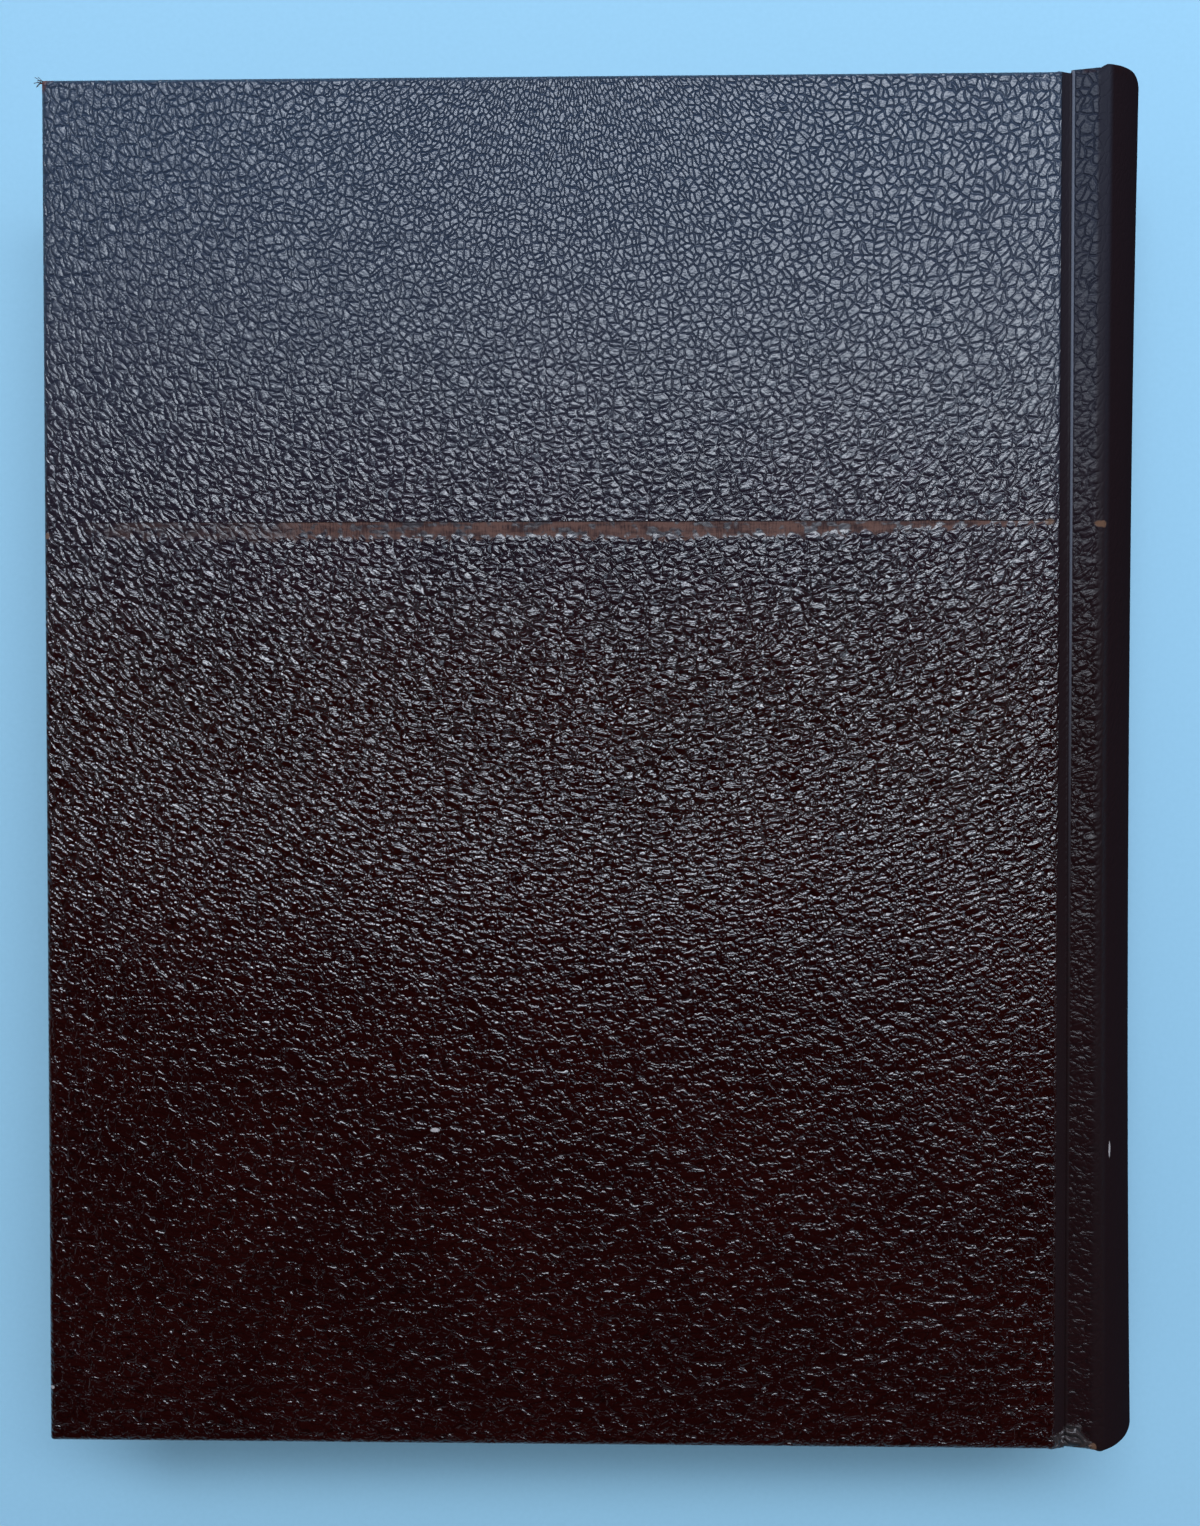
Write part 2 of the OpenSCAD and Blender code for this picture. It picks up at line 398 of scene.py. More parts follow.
def flowPlace(nodes, sideX, sideY):
    # Round the centre of the flow, and away from it
    look = leatherLook
    across = (sideX - look["flowCentre"][0]) * look["flowWide"]
    up = look["flowCentre"][1] - sideY
    radius = (across * across + up * up) ** 0.5
    along = across.math("ARCTAN2", up) * look["flowRadius"]
    return nodes.joined(along * look["pebbleStretch"], radius, 0.0)


def grainHeight(nodes, place, flow, y):
    # Flat-topped pebbles near the head, small round ones towards the tail
    look = leatherLook
    drift = nodes.noise(place, look["wanderSize"], 0, 0.5, "Color")
    drift = nodes.vector("SUBTRACT", drift, (0.5, 0.5, 0.5))
    drift = nodes.add("ShaderNodeVectorMath", {"operation": "SCALE"}, {0: drift, "Scale": look["wander"]})
    grain = nodes.vector("ADD", place, drift)
    edge = nodes.cells(nodes.vector("ADD", flow, drift), look["pebble"], "DISTANCE_TO_EDGE")
    pebble, crease = edge.ramp(-0.03, look["pebbleEdge"]), edge.ramp(-0.05, look["creaseEdge"])
    dome = nodes.cells(grain, look["dome"])
    bead = nodes.cells(grain, look["bead"])
    knob = bead.ramp(0.66, 0.14)
    flatTops = pebble * look["pebbleDepth"] + knob * look["knobDepth"]
    roundTops = dome * dome * -look["domeDepth"]
    roundTops = roundTops - bead * bead * y.ramp(*look["beadFrom"]) * look["beadDepth"]
    roundShare = y.ramp(*look["roundFrom"])
    height = flatTops * (1 - roundShare) + roundTops * roundShare
    calm = 1 - y.ramp(*look["calmFrom"]) * look["creaseCalm"]
    height = height + crease * y.ramp(*look["creaseFrom"]) * look["creaseDepth"] * calm
    return height + nodes.noise(place, look["swell"], 0) * look["swellDepth"], pebble


def scuffMasks(nodes, x, y, place, patchy, pebble, backSide):
    # The long scuff across the back cover, its colour and the plain outline that it flattens
    ragged = patchy - 0.5
    (topSize, topReach), (footSize, footReach) = wear["scuffWaves"]
    top = (wear["scuffTop"] - y + nodes.waves(place, topSize, 1, topReach)).ramp(-0.12, 0.14)
    low, high, narrows = wear["scuffNarrows"]
    foot = x.ramp(low, high) * narrows + wear["scuffFoot"]
    wavyFoot = foot + nodes.waves(place, footSize, 1, footReach)
    raggedFoot = (y - wavyFoot + ragged * wear["scuffRagged"] - pebble * 0.9 + 0.4).ramp(-0.35, 0.6)
    low, high, faint = wear["scuffFaint"]
    strength = x.ramp(*wear["scuffBright"]) * (1 - faint) + x.ramp(low, high) * faint
    strength = strength * x.ramp(*wear["scuffEnd"]) * backSide
    scuff = top * raggedFoot * strength
    plain = (y * -1 + wear["scuffTop"]).ramp(-0.12, 0.14) * (y - foot).ramp(-0.6, 1.0) * strength
    fibres = nodes.noise(nodes.joined(x * 3.2, y * 0.45, 0.0), 1.0, 3, 0.6)
    worn = nodes.noise(nodes.joined(x * 0.35, y * 1.4, 0.0), 3.0, 3, 0.6)
    low, high, share = wear["scuffPatches"]
    scuff = scuff * (1 - (worn + patchy).ramp(low, high) * share)
    pale = (worn * 0.75 + fibres * 0.5).ramp(0.46, 0.78)
    colour = nodes.mixed(pale, wear["scuffDark"], wear["scuffPale"])
    return scuff, colour, plain


def crumpleMask(x, y, ragged, backSide):
    # The crumpled and torn tail end of the joint
    left, leftTop, rise, top, right, rightFoot, lean = wear["crumple"]
    bound = (y - ((x - left) * rise + leftTop).lowest(top)).highest(x - right + (y - rightFoot) * lean)
    return (bound.highest(left - x) + ragged * wear["tornEdge"]).ramp(0.35, -0.35) * backSide


def leatherRecipe(nodes, spine=False):
    look = leatherLook
    nodes.reach = "2D"
    x, y, z = nodes.place().parts()
    joint = grooveLeft - middleX
    face = (z - halfThick).abs()
    drop = face - halfThick
    backSide = z.ramp(*(halfThick + level for level in look["backFrom"]))
    # One flat place for all faces: the sides carry on from the covers
    sideX, sideY = x - drop * look["sideShift"][0], y + drop * look["sideShift"][1]
    place = nodes.joined(sideX, sideY, 0.0)
    height, pebble = grainHeight(nodes, place, flowPlace(nodes, sideX, sideY), y)
    patchy = nodes.noise(place, 2.2, 1)
    ragged = patchy - 0.5
    base = nodes.mixed(nodes.noise(place, 35.0, 2).ramp(0.35, 0.65), look["colour"], look["warmer"])
    # Darker in the crevices between the pebbles: painted shade
    base = nodes.mixed(pebble.ramp(0.0, 0.5), look["paintedCreviceShade"], base)
    # Painted bluish sheen, mixed into the base colour and stronger towards the head
    base = nodes.mixed(y.ramp(*look["paintedSheenFrom"]) * look["paintedSheenShare"], base, look["paintedSheen"])

    # Smooth leather in the joint, or on the rounded side of the spine
    if spine:
        low, high, share = look["backSmooth"]
        calm = (x.ramp(low, high) * share).highest(x.ramp(*look["ridgeSmooth"]))
    else:
        low, high, share = look["jointSmooth"]
        calm = x.ramp(joint + low, joint + high) * share
    # The turned-in leather is thinner and smoother, and mitred at the corners
    low, high, share = look["insideSmooth"]
    inside = face.ramp(low, high)
    calm = calm.highest(inside * share)
    fromEnd = y.abs() * -1 + halfHeight
    mitre = ((x - (foreX - middleX)) - fromEnd).abs().ramp(*look["mitreWidth"])
    mitre = mitre * inside * x.ramp(*look["mitreReach"])

    scuff, scuffColour, flattened = scuffMasks(nodes, x, y, place, patchy, pebble, backSide)
    spots = spot(x, y, ragged, wear["spineSpots" if spine else "coverSpots"]) * backSide
    nicks = spot(x, y, ragged * 0.5, wear["nicks"]) * backSide
    cx, cy = x - wear["corner"][0], y - wear["corner"][1]
    fromCorner = (cx * cx + cy * cy) ** 0.5
    tip = (fromCorner + ragged * wear["tornEdge"]).ramp(*wear["cornerReach"]) * backSide
    rim = (x * -1).ramp(*wear["rimSide"]).highest(y.abs().ramp(*wear["rimEnd"]))
    rim = rim * patchy.ramp(0.48, 0.66) * 0.55
    crumple = crumpleMask(x, y, ragged, backSide)
    folds = nodes.waves(place, 1.7, 0, 1.0).abs() * wear["foldDepth"]

    colour = nodes.mixed(rim, base, wear["rimColour"])
    colour = nodes.mixed(crumple * 0.7, colour, wear["crumpleColour"])
    colour = nodes.mixed(scuff, colour, scuffColour)
    colour = nodes.mixed(spots, colour, wear["bareHide"])
    colour = nodes.mixed(tip, colour, wear["cornerColour"])
    colour = nodes.mixed(nicks, colour, wear["nickPale"])
    bare = scuff.highest(spots.highest(tip)).highest(nicks) * wear["flattened"]
    keep = 1 - calm.highest(flattened * wear["flattened"])
    keep = keep * (1 - crumple * wear["crumpleFlat"])
    height = height * keep + folds * crumple - mitre * look["mitreDepth"] - flattened * wear["scuffDepth"]
    spread = look["roughnessRange"]
    rough = nodes.noise(place, 5.0, 2) * spread
    rough = rough + ((look["spineRoughness"] if spine else look["roughness"]) - spread / 2)
    rough = rough + bare * look["wornRoughness"] + calm * look["calmRoughness"]
    rough = rough + crumple * look["crumpleRoughness"]
    rough = rough + y.ramp(*look["topFrom"]) * look["topRoughness"]
    bump = nodes.bump(height)
    seen = bare.highest(crumple)
    # The rounded back and the joints are rubbed dull
    if spine:
        # A thin bright line at the foot of the ridge, fading towards the tail, is a painted highlight
        low, high, end, start = look["paintedLinePlace"]
        line = x.ramp(low, high) * x.ramp(end, start) * y.ramp(*look["paintedLineFrom"]) * backSide
        colour = nodes.mixed(line, colour, look["paintedLineHighlight"])
        seen = seen.highest(line)
        rubbed = look["rubbed"]
        for low, high, share in (look["crestRubbed"], look["backRubbed"]):
            rubbed = x.ramp(low, high) * share + rubbed
    else:
        low, high, share = look["jointRubbed"]
        rubbed = x.ramp(joint + low, joint + high) * share
    rubbed = (rubbed * (1 - crumple * wear["crumpleShine"])).highest(scuff * wear["scuffDull"])
    shiny = nodes.surface(colour, rough, look["spineGloss"] if spine else look["gloss"], bump)
    dullBase = nodes.mixed(seen.ramp(0, 0.5), look["dullColour"], colour)
    return nodes.blended(rubbed, shiny, nodes.surface(dullBase, 1.0, 0.0, bump))


leather = newMaterial("oxbloodGoatskin", leatherRecipe)
spineLeather = newMaterial("oxbloodGoatskinSpine", lambda nodes: leatherRecipe(nodes, True))


# Paper, card, cloth and silk

stuffs = {
    "agedPaper": {
        "light": (0.55, 0.46, 0.32, 1),
        "dark": (0.50, 0.405, 0.27, 1),
        "toned": (0.37, 0.26, 0.14, 1),
        "size": 14.0,
        "fleck": (0.40, 0.24, 0.11, 1),
        "flecks": 0.30,
        "fleckSize": 3.4,
        "roughness": 0.86,
        "fibre": 0.5,
        "relief": 0.03,
    },
    "leafEdges": {
        "light": (0.60, 0.48, 0.31, 1),
        "dark": (0.36, 0.25, 0.14, 1),
        "size": 18.0,
        "layer": 0.2,
        "fleck": (0.24, 0.15, 0.08, 1),
        "flecks": 0.33,
        "fleckSize": 1.1,
        "roughness": 0.9,
        "fibre": 0.5,
        "relief": 0.03,
    },
    "millboardGrey": {
        "light": (0.21, 0.18, 0.14, 1),
        "dark": (0.13, 0.11, 0.085, 1),
        "size": 6.0,
        "fleck": (0.05, 0.04, 0.03, 1),
        "flecks": 0.34,
        "fleckSize": 0.9,
        "roughness": 0.92,
        "fibre": 0.6,
        "relief": 0.10,
    },
    "infillCard": {
        "light": (0.45, 0.38, 0.28, 1),
        "dark": (0.34, 0.28, 0.20, 1),
        "size": 9.0,
        "fleck": (0.17, 0.12, 0.08, 1),
        "flecks": 0.28,
        "fleckSize": 0.8,
        "roughness": 0.9,
        "fibre": 0.5,
        "relief": 0.05,
    },
    "mullCloth": {
        "light": (0.56, 0.50, 0.39, 1),
        "dark": (0.40, 0.34, 0.24, 1),
        "size": 5.0,
        "weave": 0.7,
        "roughness": 0.9,
        "fibre": 0.25,
        "relief": 0.16,
    },
    "frayedHide": {
        "light": (0.055, 0.026, 0.020, 1),
        "dark": (0.020, 0.010, 0.009, 1),
        "size": 0.6,
        "roughness": 0.9,
        "fibre": 0.1,
        "relief": 0.02,
    },
    "linenTape": {
        "light": (0.64, 0.58, 0.46, 1),
        "dark": (0.48, 0.42, 0.31, 1),
        "size": 4.0,
        "weave": 0.45,
        "roughness": 0.88,
        "fibre": 0.2,
        "relief": 0.12,
    },
}
paperTone = {"depth": 26, "size": 24.0, "square": 4, "edge": (16, -4), "share": 0.75}


def stuffRecipe(look):
    def recipe(nodes):
        place = nodes.place()
        x, y, z = place.parts()
        shade = nodes.noise(place, look["size"], 4).ramp(0.3, 0.7)
        if "layer" in look:
            sheet = nodes.noise(nodes.joined(x * 0.02, y * 0.02, z / look["layer"]), 1.0, 2)
            shade = shade * 0.35 + sheet.ramp(0.32, 0.68) * 0.65
        colour = nodes.mixed(shade, look["dark"], look["light"])
        if "toned" in look:
            # Browner towards the edges of the sheet
            tone = paperTone
            fromEdge = (y.abs() * -1 + halfHeight - tone["square"]).lowest(x - (outerLeafX - middleX))
            edge = (fromEdge + nodes.waves(place, tone["size"], 3, tone["depth"])).ramp(*tone["edge"])
            colour = nodes.mixed(edge * tone["share"], colour, look["toned"])
        height = nodes.noise(place, look["fibre"], 3, 0.65) * look["relief"]
        if "weave" in look:
            turn = 2 * math.pi / look["weave"]
            over = (y * turn).math("SINE") * ((x + z) * turn).math("SINE")
            height = height + over * look["relief"]
            # Darker where the weave dips: painted shade in its hollows
            colour = nodes.mixed(over.ramp(-0.9, 0.4), look["dark"], colour)
        if "fleck" in look:
            fleck = nodes.noise(place, look["fleckSize"], 2, 0.6).ramp(look["flecks"], look["flecks"] - 0.08)
            colour = nodes.mixed(fleck * 0.7, colour, look["fleck"])
        rough = shade * 0.06 + (look["roughness"] - 0.03)
        return nodes.surface(colour, rough, 0.3, nodes.bump(height))

    return recipe


stuff = {name: newMaterial(name, stuffRecipe(look)) for name, look in stuffs.items()}


silkLook = {
    "first": (0.20, 0.012, 0.016, 1),
    "second": (0.62, 0.50, 0.30, 1),
    "dust": (0.20, 0.13, 0.08, 1),
    "dustShare": 0.45,
    "stripe": 7.6,
    "twist": 9.0,
    "twistDepth": 0.02,
    "roughness": 0.42,
}


def silkRecipe(nodes):
    # Red and cream stripes round the spine's arc, with the twist of the thread
    look = silkLook
    x, y, z = nodes.place().parts()
    angle = (z - halfThick).math("ARCTAN2", x + middleX) * (180 / math.pi)
    stripe = (angle * (2 * math.pi / look["stripe"])).math("SINE").ramp(-0.06, 0.06)
    colour = nodes.mixed(stripe, look["first"], look["second"])
    dust = nodes.noise(nodes.joined(x, y, z), 1.5, 3).ramp(0.42, 0.75)
    colour = nodes.mixed(dust * look["dustShare"], colour, look["dust"])
    twist = ((angle * 2.2 + y * 1.4) * look["twist"]).math("SINE")
    bump = nodes.bump(twist * look["twistDepth"])
    return nodes.surface(colour, dust * 0.2 + look["roughness"], 0.4, bump)


silk = newMaterial("wornSilk", silkRecipe)
print("materials are made")

# Leather over the two boards, from the turned-in edge round to the crease beside the ridge

coverSkinSizes = {
    "edgeRound": 1.3,
    "innerRound": 0.5,
    "cornerRound": 0.8,
    "turnIn": 15.0,
    "stripTurnIn": 3.4,
    "stepRound": 0.5,
    "slope": ((0, 0.08, 0.2, 0.5, 0.85, 1), (0, 0.04, 0.24, 0.62, 0.97, 1)),
    "stripDepth": 2.3,
    "skin": 0.45,
    "step": 2.4,
    "fineStep": 0.6,
    "fineReach": 7.2,
    "foreReach": 5.0,
    "insets": (1.5, 2.6, 4, 6, 9, 12),
}


def skinRows(size):
    reach = halfHeight - size["edgeRound"]
    return spacing(-reach, reach, size["step"], size["fineStep"], size["fineReach"])


def coverSkin(name, side):
    size = coverSkinSizes
    r = size["edgeRound"]
    stepR = size["stepRound"]
    rows = skinRows(size)
    flat = spacing(foreX + r, grooveLeft - stepR, size["step"], size["fineStep"], size["foreReach"])
    columns = [(x, 0.0) for x in flat]
    # The leather slopes down from the board to the crease
    for t in np.linspace(0, 1, 15)[1:]:
        x = grooveLeft - stepR + t * (grooveRight - grooveLeft + stepR)
        columns.append((x, book["grooveDepth"] * float(np.interp(t, *size["slope"]))))
    columns = np.array(columns)
    nx, ny = len(columns), len(rows)
    strip = columns[:, 0] > boardRight + 0.2
    endX = grooveRight
    top = np.zeros((ny, nx, 3))
    top[..., 0] = columns[None, :, 0]
    top[..., 1] = rows[:, None]
    top[..., 2] = halfThick - columns[None, :, 1]

    # Numbers of the boundary points: along the head, down the fore-edge, back along the tail
    rim = [(ny - 1, i) for i in range(nx - 1, -1, -1)] + [(j, 0) for j in range(ny - 2, -1, -1)]
    rim += [(0, i) for i in range(1, nx)]
    j, i = np.array(rim).T
    points = [top.reshape(-1, 3)]
    faces = []
    for a in range(ny - 1):
        for b in range(nx - 1):
            k = a * nx + b
            faces.append((k, k + 1, k + nx + 1, k + nx))
    atHead = np.where(j == ny - 1, 1, np.where(j == 0, -1, 0))
    along = (columns[i, 0] - foreX - r) / (endX - foreX - r)
    up = rows[j] / (halfHeight - r)

    # Round the edge, down the side, round again and in under the board
    quarter = math.pi / 2
    profile = [(r - r * math.sin(t), r * (1 - math.cos(t))) for t in np.linspace(0, quarter, 7)[1:]]
    ri = size["innerRound"]
    sideEnd = turnInDepth - ri
    profile += [(0.0, d) for d in np.linspace(r, sideEnd, 4)[1:]]
    profile += [
        (ri * (1 - math.cos(t)), sideEnd + ri * math.sin(t)) for t in np.linspace(0, quarter, 5)[1:]
    ]
    profile += [(inset, turnInDepth) for inset in (*size["insets"], size["turnIn"])]
    previous = [a * nx + b for a, b in rim]
    sunk = columns[i, 1]
    local = np.where(strip[i], size["stripDepth"] - sunk, turnInDepth - sunk) / turnInDepth
    for inset, down in profile:
        short = r + (inset - r) * (size["stripTurnIn"] - r) / (size["turnIn"] - r)
        insetHere = np.where(strip[i] & (inset > r), short, inset)
        px = foreX + inset + along * (endX - foreX - inset)
        py = np.where(atHead != 0, atHead * (halfHeight - insetHere), up * (halfHeight - inset))
        # Rounded corners, seen from above
        cr = max(size["cornerRound"] - inset, 0.25)
        cx, cy = foreX + inset + cr, halfHeight - inset - cr
        dx, dy = np.minimum(px - cx, 0), np.maximum(np.abs(py) - cy, 0)
        long = np.hypot(dx, dy)
        inCorner = (dx < 0) & (dy > 0) & (long > 0)
        scale = np.where(inCorner, cr / np.maximum(long, 1e-9), 1)
        px = np.where(inCorner, cx + dx * scale, px)
        py = np.where(inCorner, np.sign(py) * (cy + dy * scale), py)
        pz = halfThick - sunk - down * local
        start = sum(len(p) for p in points)
        points.append(np.stack([px, py, pz], 1))
        ring = list(range(start, start + len(px)))
        faces += bridge(ring, previous)
        previous = ring
    points = np.concatenate(points)
    if side < 0:
        points[:, 2] *= -1
        faces = [face[::-1] for face in faces]
    piece = meshPiece(name, points, faces, leather)
    thick = piece.modifiers.new("skin", "SOLIDIFY")
    thick.thickness, thick.offset = size["skin"] / 1000, -1
    return applied(piece)


for name, side in (("back", 1), ("front", -1)):
    skin = coverSkin(name + "CoverLeather", side)
    placed((grooveRight - 0.15, 0, side * grooveZ))
    placed((grooveLeft + 0.1, 0, side * grooveZ))
    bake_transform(skin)
    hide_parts(name + "_leather")
print("cover leather is made")

# Leather over the ridges, the crests and the rounded spine, with its caps at head and tail

spineSkinSizes = {
    "edgeRound": 1.3,
    "step": 2.0,
    "fineStep": 0.5,
    "fineReach": 14.0,
    "waist": 0.4,
    "flare": 1.1,
    "flarePower": 2.2,
    "flareTurn": (80, 35),
    "riseFrom": (130, 13),
    "capEnd": ((0.05, 2.0), (0.25, 2.7)),
    "capInner": 0.7,
    "turns": (0, 35, 60, 80, 101.5),
    "headRise": (3.0, 3.2, 1.5, 0.9, 0.9),
    "tailRise": (0.7, 0.7, 0.5, 0.2, 0.0),
}


def spinePath():
    # Points, outward normals and the share of spine of the section's outside, from crease to crease
    slope = np.array([math.cos(ridgeAngle), math.sin(ridgeAngle)])
    foot = np.array([grooveRight, grooveZ])
    head = np.array(ridgeTop)
    path = [(foot + (head - foot) * t, slope, 0.0) for t in np.linspace(0, 1, 10)[:-1]]
    for a in np.linspace(ridgeAngle, spineAngle, 8)[:-1]:
        n = np.array([math.cos(a), math.sin(a)])
        path.append((np.array([crestX, crestZ]) + crestR * n, n, 0.0))
    for a in np.linspace(spineAngle, 0, 33):
        n = np.array([math.cos(a), math.sin(a)])
        path.append((spineR * n, n, 0.0))
    lower = [(p * (1, -1), n * (1, -1), s) for p, n, s in path[-2::-1]]
    return path + lower


def spineSkin():
    size = spineSkinSizes
    path = spinePath()
    points2 = np.array([p for p, n, s in path])
    normals = np.array([n for p, n, s in path])
    angle = np.degrees(np.arctan2(normals[:, 1], normals[:, 0]))
    r = size["edgeRound"]
    rows = skinRows(size)
    inner = halfHeight - book["capInside"]
    loop = [(y, 0.0) for y in rows]
    arc = np.linspace(0, math.pi / 2, 7)[1:]
    top = [(halfHeight - r + r * math.sin(t), r * (1 - math.cos(t))) for t in arc]
    top += [(halfHeight - inset, depth) for inset, depth in size["capEnd"]]
    top += [(halfHeight - size["capInner"], book["capDepth"])]
    top += [(inner, book["capDepth"]), (inner, book["leather"])]
    loop += top + [(-y, d) for y, d in top[::-1]]
    loop = np.array(loop)
    # How far the caps stand past the covers follows the direction that the leather faces
    points = []
    for p, n, a in zip(points2, normals, angle):
        share = float(smooth((size["flareTurn"][0] - abs(a)) / size["flareTurn"][1]))
        rises = [np.interp(abs(a), size["turns"], size[key]) for key in ("headRise", "tailRise")]
        y = loop[:, 0]
        end = smooth((np.abs(y) - size["riseFrom"][0]) / size["riseFrom"][1])
        rise = np.where(y > 0, rises[0], rises[1]) * end
        y = y + np.sign(y) * rise
        towardsEnd = (np.abs(loop[:, 0]) / halfHeight) ** size["flarePower"]
        out = (size["flare"] * towardsEnd - size["waist"]) * share
        out = np.where(loop[:, 1] >= book["leather"], 0, out)
        depth = loop[:, 1] - out
        points.append(np.stack([p[0] - depth * n[0], y, p[1] - depth * n[1]], 1))
    count = len(loop)
    faces = []
    for k in range(len(path) - 1):
        first = [k * count + i for i in range(count)]
        second = [(k + 1) * count + i for i in range(count)]
        faces += bridge(first, second, closed=True)
    faces = [face[::-1] for face in faces]
    faces.append(tuple(range(count)))
    faces.append(tuple((len(path) - 1) * count + i for i in range(count))[::-1])
    return meshPiece("spineLeather", np.concatenate(points), faces, spineLeather)


spine = spineSkin()
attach(spine, "text_block")
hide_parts("spine_leather")
print("spine leather is made")

# Each endpaper is one folded sheet, drawn as two pieces that meet at the root of the joint: the
# pasted half with its fold, and the loose leaf

endpaperSizes = {
    "half": 0.1,
    "foldDepth": 2.3,
    "fromWall": 0.13,
    "root": 4.45,
    "turnR": 0.3,
    "bendDepth": 3,
    "narrowing": (2, 0.4),
}


def sheetPiece(name, path, reach, side):
    # A thin sheet along a path of (x, depth), as wide as reach each way at each point
    path, reach = np.array(path, float), np.array(reach, float)
    step = np.gradient(path, axis=0)
    step /= np.linalg.norm(step, axis=1)[:, None]
    normal = np.stack([-step[:, 1], step[:, 0]], 1)
    half = endpaperSizes["half"]
    loop = np.concatenate([path + half * normal, (path - half * normal)[::-1]])
    width = np.concatenate([reach, reach[::-1]])
    rows = np.linspace(-1, 1, 13)
    points = [
        np.stack([loop[:, 0], width * row, side * (halfThick - loop[:, 1])], 1) for row in rows
    ]
    count, long = len(loop), len(path)
    faces = []
    for k in range(len(rows) - 1):
        first = [k * count + i for i in range(count)]
        faces += bridge(first, [i + count for i in first], closed=True)
    for k, turned in ((0, True), (len(rows) - 1, False)):
        for i in range(long - 1):
            end = [k * count + n for n in (i, i + 1, count - 2 - i, count - 1 - i)]
            faces.append(tuple(end[::-1] if turned else end))
    if side > 0:
        faces = [face[::-1] for face in faces]
    return meshPiece(name, np.concatenate(points), faces, stuff["agedPaper"])


def endpapers(name, side):
    size = endpaperSizes
    low, high = boardRight + size["fromWall"], shoulderX - size["fromWall"]
    pasted = turnInDepth + book["endpaper"] / 2
    loose = flyleafDepth + book["endpaper"] / 2
    r = size["turnR"]
    path = [(x, pasted) for x in np.linspace(foreX + book["bareTurnIn"], low - r, 48)]
    turn = np.linspace(0, math.pi / 2, 6)[1:]
    path += [(low - r + r * math.sin(t), pasted - r + r * math.cos(t)) for t in turn]
    path += [(low, d) for d in np.linspace(pasted - r, size["foldDepth"], 5)[1:]]
    middle, over = (low + high) / 2, (high - low) / 2
    turn = np.linspace(0, math.pi, 21)[1:]
    path += [(middle - over * math.cos(t), size["foldDepth"] - over * math.sin(t)) for t in turn]
    path += [(high, d) for d in np.linspace(size["foldDepth"], size["root"], 6)[1:]]
    short, widen = size["narrowing"]
    reach = [halfHeight - book["bareTurnIn"]] * (len(path) - 5)
    reach += [book["leafHeight"] / 2 - short + widen * k for k in range(5)]
    sheet = sheetPiece(name + "EndpaperPasted", path, reach, side)
    placed((high, 0, side * (halfThick - size["bendDepth"])))
    placed((low, 0, side * (halfThick - size["bendDepth"])))
    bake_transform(sheet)
    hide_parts(name + "_pastedown")
    path = [(high, size["root"])]
    bend = loose - size["root"]
    turn = np.linspace(0, math.pi / 2, 5)[1:]
    path += [(high - bend + bend * math.cos(t), size["root"] + bend * math.sin(t)) for t in turn]
    path += [(x, loose) for x in np.linspace(high - bend, outerLeafX, 48)[1:]]
    leaf = sheetPiece(name + "EndpaperLoose", path, [book["leafHeight"] / 2] * len(path), side)
    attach(leaf, "text_block")
    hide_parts(name + "_flyleaf")


for name, side in (("back", 1), ("front", -1)):
    endpapers(name, side)
print("endpapers are made")


def geometryPiece(name, sizes, recipe, material):
    # A plain mesh from a Geometry Nodes tree whose inputs are the named sizes
    tree = bpy.data.node_groups.new(name, "GeometryNodeTree")
    tree.interface.new_socket("Geometry", in_out="OUTPUT", socket_type="NodeSocketGeometry")
    kinds = {int: "NodeSocketInt", float: "NodeSocketFloat", tuple: "NodeSocketVector"}
    for key, value in sizes.items():
        tree.interface.new_socket(key, in_out="INPUT", socket_type=kinds[type(value)])
    nodes = Nodes(tree)
    entry = tree.nodes.new("NodeGroupInput")
    result = recipe(nodes, {key: Val(nodes, entry.outputs[key]) for key in sizes})
    result = nodes.add("GeometryNodeRealizeInstances", {}, {0: result})
    result = nodes.add("GeometryNodeSetMaterial", {}, {"Geometry": result, "Material": material})
    tree.links.new(result.socket, tree.nodes.new("NodeGroupOutput").inputs[0])
    piece = bpy.data.objects.new(name, bpy.data.meshes.new(name + "Base"))
    scene.collection.objects.link(piece)
    modifier = piece.modifiers.new(name, "NODES")
    modifier.node_group = tree
    for item in tree.interface.items_tree:
        if item.in_out == "INPUT":
            modifier[item.identifier] = sizes[item.name]
    return applied(piece)


# The leaves: thin sheets, rounded and backed at the spine, so that the fore-edge is hollow

leafSizes = {
    "leaves": 161,
    "columns": 34,
    "height": book["leafHeight"] - 0.4,
    "width": book["leafWidth"],
    "pile": book["leavesThick"],
    "fill": 0.86,
    "spineRadius": leavesR,
    "shoulderAt": shoulderX,
    "shoulderRise": 3.0,
    "uneven": 0.16,
    "curve": 2.5,
    "seed": 7,
}


